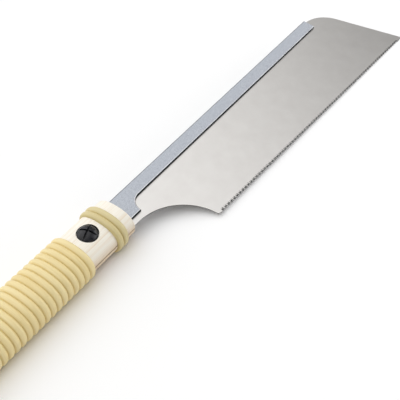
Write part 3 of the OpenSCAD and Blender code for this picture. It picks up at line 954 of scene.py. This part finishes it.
def cane_strip(s, start_x, first, last, tucked):
    """A strip wound round the handle from turn number first to last.

    Its centre is a stepped helix on the superellipse, and its section a foot, upright sides and a low arch.
    Returns the points on the bench and, for each, millimetres along the strip and its place across.
    """
    c = s.cane
    turn = np.linspace(first, last, int(round((last - first) * TURN_POINTS)) + 1)
    t = lowest_parameter(s) + (turn + WIND_START) * 2 * math.pi
    base, normal = oval_point(s, t), oval_normal(s, t)
    centre_x = start_x - c.drawn_w / 2 - c.pitch * turns_along(turn)
    step = np.linalg.norm(np.diff(base, axis=0), axis=1)
    run = np.concatenate([[0], np.cumsum(step)])
    # A tucked end thins to this share of the cane's height
    thin = 0.3
    ease = np.ones_like(run)
    for end, distance in (("start", run), ("end", run[-1] - run)):
        if end in tucked:
            ease = np.minimum(ease, thin + (1 - thin) * np.clip(distance / c.tuck, 0, 1))
    # The crown is an arc of a circle through the tops of the sides
    spread = 2 * math.atan2(c.height - c.side, c.width / 2)
    lean = np.linspace(-spread, spread, CROWN_POINTS)
    crown = (np.cos(lean) - math.cos(spread)) / (1 - math.cos(spread))
    across = c.width / 2 * np.concatenate([[-1], np.sin(lean) / math.sin(spread), [1, 0]])
    rise = np.concatenate([[-c.bed], c.side + (c.height - c.side) * crown, [-c.bed, -c.bed]])
    lift = rise[None] * np.where(rise > 0, ease[:, None], 1)
    x = centre_x[:, None] + across[None]
    yz = base[:, None] + lift[..., None] * normal[:, None]
    points = np.stack([x, yz[..., 0] + s.axis_y, yz[..., 1]], -1)
    points = on_bench(s, points)
    points[..., 2] = np.maximum(points[..., 2], 0)
    uv = np.stack(np.broadcast_arrays(run[:, None] / MM, across[None] / c.width + 0.5), -1)
    return points, uv


class DOZUKI_OT_cane(bpy.types.Operator):
    """Build the windings of cane"""
    bl_idname = "dozuki.cane"
    bl_label = "Cane"

    def execute(self, context):
        s = saw(context)
        c, f = s.cane, s.finish
        grip = split_cane("split_cane", f.cane, f.cane_dark, f.cane_valley_shade)
        # The collar takes a darker copy of the cane, which is painted shade
        collar = split_cane("older_cane", f.collar, f.collar_dark, f.collar_valley_shade)
        half_stretch = 0.5 / STRETCHES
        total = c.front_turns + c.rear_turns
        meet = c.front_turns - half_stretch
        windings = {
            "collar_cane": (
                "collar_wrap", collar, s.collar_x, half_stretch, c.collar_turns - half_stretch, "start end"),
            "grip_cane_front": ("grip_wrap_front", grip, s.grip_x, half_stretch, meet, "start"),
            "grip_cane_rear": ("grip_wrap_rear", grip, s.grip_x, meet, total - half_stretch, "end"),
        }
        for name, (node, cane, start_x, first, last, tucked) in windings.items():
            points, uv = cane_strip(s, start_x, first, last, tucked)
            faces = ring_faces(*points.shape[:2], caps=True)
            mesh = bpy.data.meshes.new(name)
            mesh.from_pydata(points.reshape(-1, 3).tolist(), [], faces)
            layer = mesh.uv_layers.new(name="strip")
            corners = np.empty(len(mesh.loops), np.int32)
            mesh.loops.foreach_get("vertex_index", corners)
            layer.data.foreach_set("uv", uv.reshape(-1, 2)[corners].ravel())
            piece = new_object(name, mesh)
            finish_piece(piece, cane, node, "handle", crease=50)
        return {"FINISHED"}


class DOZUKI_OT_screw(bpy.types.Operator):
    """Build the clamp screw and the sleeve nut"""
    bl_idname = "dozuki.screw"
    bl_label = "Screw and nut"

    def execute(self, context):
        s = saw(context)
        sc = s.screw
        metal = black_oxide(s.finish)
        self.build_screw(s, sc, metal)
        self.build_nut(s, sc, metal)
        return {"FINISHED"}

    def build_screw(self, s, sc, metal):
        """A turned shank and head, whose top is a cap of a sphere, cut by two crossed slots."""
        under = s.seat_z + sc.seat_gap
        rim = under + sc.rim_t
        top = rim + sc.dome_h
        r = sc.head_d / 2
        dome_r = (r ** 2 + sc.dome_h ** 2) / (2 * sc.dome_h)
        start = math.acos((r - sc.edge_r) / dome_r)
        cap = arc_points((0, top - dome_r), dome_r, start, math.pi / 2, CAP_POINTS)[:-1]
        lip = arc_points(
            (r - sc.edge_r, cap[0][1] - sc.edge_r), sc.edge_r, 0, math.pi / 2, LIP_POINTS)[:-1]
        shank_end = -s.seat_z - sc.flange_t + 2 * sc.nut_floor
        shank = sc.shank_d / 2
        profile = np.concatenate([
            [(0, shank_end), (shank, shank_end), (shank, under), (r, under)], lip, cap, [(0, top)]])
        piece = ring_piece(s, "clamp_screw_head", turned(s, profile), caps=False)
        cutters = []
        for quarter in (0, 1):
            turn = sc.slot_turn + quarter * math.pi / 2
            reach, half = sc.head_d, sc.slot_w / 2
            box = np.array([(-reach, -half), (reach, -half), (reach, half), (-reach, half)])
            spin = np.array([[math.cos(turn), math.sin(turn)], [-math.sin(turn), math.cos(turn)]])
            box = box @ spin + s.axis_point[:2]
            cutters.append(slab_mesh(s, box, top - sc.slot_depth, top + MM))
        cut_away(piece, cutters)
        finish_piece(piece, metal, "clamp_screw", "screw", crease=35)

    def build_nut(self, s, sc, metal):
        """A turned flange with a sleeve, bored from inside."""
        face = -s.seat_z - sc.flange_t
        sleeve_top = -s.socket_z - sc.shank_gap
        r, sleeve, bore = sc.head_d / 2, sc.sleeve_d / 2, sc.shank_d / 2 + sc.thread_fit
        lip = arc_points((r - sc.edge_r, face + sc.edge_r), sc.edge_r, -math.pi / 2, 0, LIP_POINTS)
        bore_end = face + sc.nut_floor
        profile = np.concatenate([
            [(0, face)], lip, [(r, -s.seat_z), (sleeve, -s.seat_z), (sleeve, sleeve_top), (bore, sleeve_top),
                               (bore, bore_end), (0, bore_end)]])
        piece = ring_piece(s, "sleeve_nut_turned", turned(s, profile), caps=False)
        finish_piece(piece, metal, "sleeve_nut", "handle", crease=35)


class DOZUKI_OT_stage(bpy.types.Operator):
    """Build the floor, the lights and the camera"""
    bl_idname = "dozuki.stage"
    bl_label = "Stage"

    def execute(self, context):
        s = saw(context)
        self.build_floor(s)
        self.build_lights(context.scene, s)
        self.build_camera(context.scene, s)
        return {"FINISHED"}

    def build_floor(self, s):
        """A flat sheet of paper just under the saw."""
        half, below = s.stage.floor_half, -FLOOR_GAP
        corners = [(-half, -half, below), (half, -half, below), (half, half, below), (-half, half, below)]
        floor = new_object("floor", new_mesh("floor", corners, [[0, 1, 2, 3]]))
        material, _, shader = new_material("matt_paper")
        feed(shader, {"Base Color": s.finish.floor, "Roughness": 0.95, "Specular IOR Level": 0.1})
        floor.data.materials.append(material)

    def build_lights(self, scene, s):
        """A surround that brightens overhead, a soft panel behind the spine and a low fill past the toe."""
        st = s.stage
        world = bpy.data.worlds.new("soft_surround")
        world.use_nodes = True
        tree = world.node_tree
        direction = add_node(tree, "ShaderNodeTexCoord").outputs["Generated"]
        height = add_node(tree, "ShaderNodeVectorMath", {0: direction, 1: st.sky_up}, operation="DOT_PRODUCT")
        glow = add_node(tree, "ShaderNodeMapRange", {
            "Value": height.outputs["Value"], "From Min": st.sky_from, "From Max": st.sky_to,
            "To Min": st.sky_low, "To Max": st.sky_high}, interpolation_type="SMOOTHSTEP")
        feed(tree.nodes["Background"], {"Strength": glow.outputs[0], "Color": (1, 1, 1, 1)})
        scene.world = world
        for name in ("panel", "fill"):
            lamp = bpy.data.lights.new(name, "AREA")
            lamp.shape = "RECTANGLE"
            lamp.size, lamp.size_y = getattr(st, f"{name}_w"), getattr(st, f"{name}_h")
            lamp.energy = getattr(st, f"{name}_power")
            soft = bpy.data.objects.new(name, lamp)
            soft.location = getattr(st, f"{name}_at")
            soft.rotation_euler = (-soft.location).to_track_quat("-Z", "Y").to_euler()
            scene.collection.objects.link(soft)

    def build_camera(self, scene, s):
        """A camera at the photograph's place, aimed and rolled."""
        scene.view_settings.view_transform = "Standard"
        lens = bpy.data.cameras.new("camera")
        lens.lens = s.stage.lens
        lens.sensor_width = FRAME_W
        lens.sensor_fit = "HORIZONTAL"
        lens.clip_start = 10 * MM
        camera = bpy.data.objects.new("camera", lens)
        camera.location = s.stage.camera_at
        aim = Vector(s.stage.camera_aim) - camera.location
        turn = aim.to_track_quat("-Z", "Y") @ Quaternion((0, 0, 1), s.stage.camera_roll)
        camera.rotation_euler = turn.to_euler()
        scene.collection.objects.link(camera)
        scene.camera = camera


OPERATORS = (
    DOZUKI_OT_blade, DOZUKI_OT_spine, DOZUKI_OT_handle, DOZUKI_OT_cane, DOZUKI_OT_screw, DOZUKI_OT_stage)


class DOZUKI_PT_sidebar(bpy.types.Panel):
    """Sizes, colours and builders of the saw"""
    bl_idname = "DOZUKI_PT_sidebar"
    bl_label = "Dozuki saw"
    bl_space_type = "VIEW_3D"
    bl_region_type = "UI"
    bl_category = "Dozuki"

    def draw(self, context):
        for operator in OPERATORS:
            self.layout.operator(operator.bl_idname)
        for key, group in GROUPS.items():
            box = self.layout.box()
            box.label(text=group.__name__)
            for name in group.__annotations__:
                box.prop(getattr(context.scene, key), name)


CLASSES = (*GROUPS.values(), *OPERATORS, DOZUKI_PT_sidebar)


def register():
    """Makes the classes known and hangs the property groups on the scene."""
    for cls in CLASSES:
        bpy.utils.register_class(cls)
    for key, group in GROUPS.items():
        setattr(bpy.types.Scene, key, PointerProperty(type=group))


def unregister():
    """Takes back what register did."""
    for key in GROUPS:
        delattr(bpy.types.Scene, key)
    for cls in reversed(CLASSES):
        bpy.utils.unregister_class(cls)


def main():
    """Builds the stage and every piece."""
    register()
    bpy.ops.dozuki.stage()
    bpy.ops.dozuki.blade()
    bpy.ops.dozuki.spine()
    bpy.ops.dozuki.handle()
    bpy.ops.dozuki.cane()
    bpy.ops.dozuki.screw()


if __name__ == "__main__":
    main()
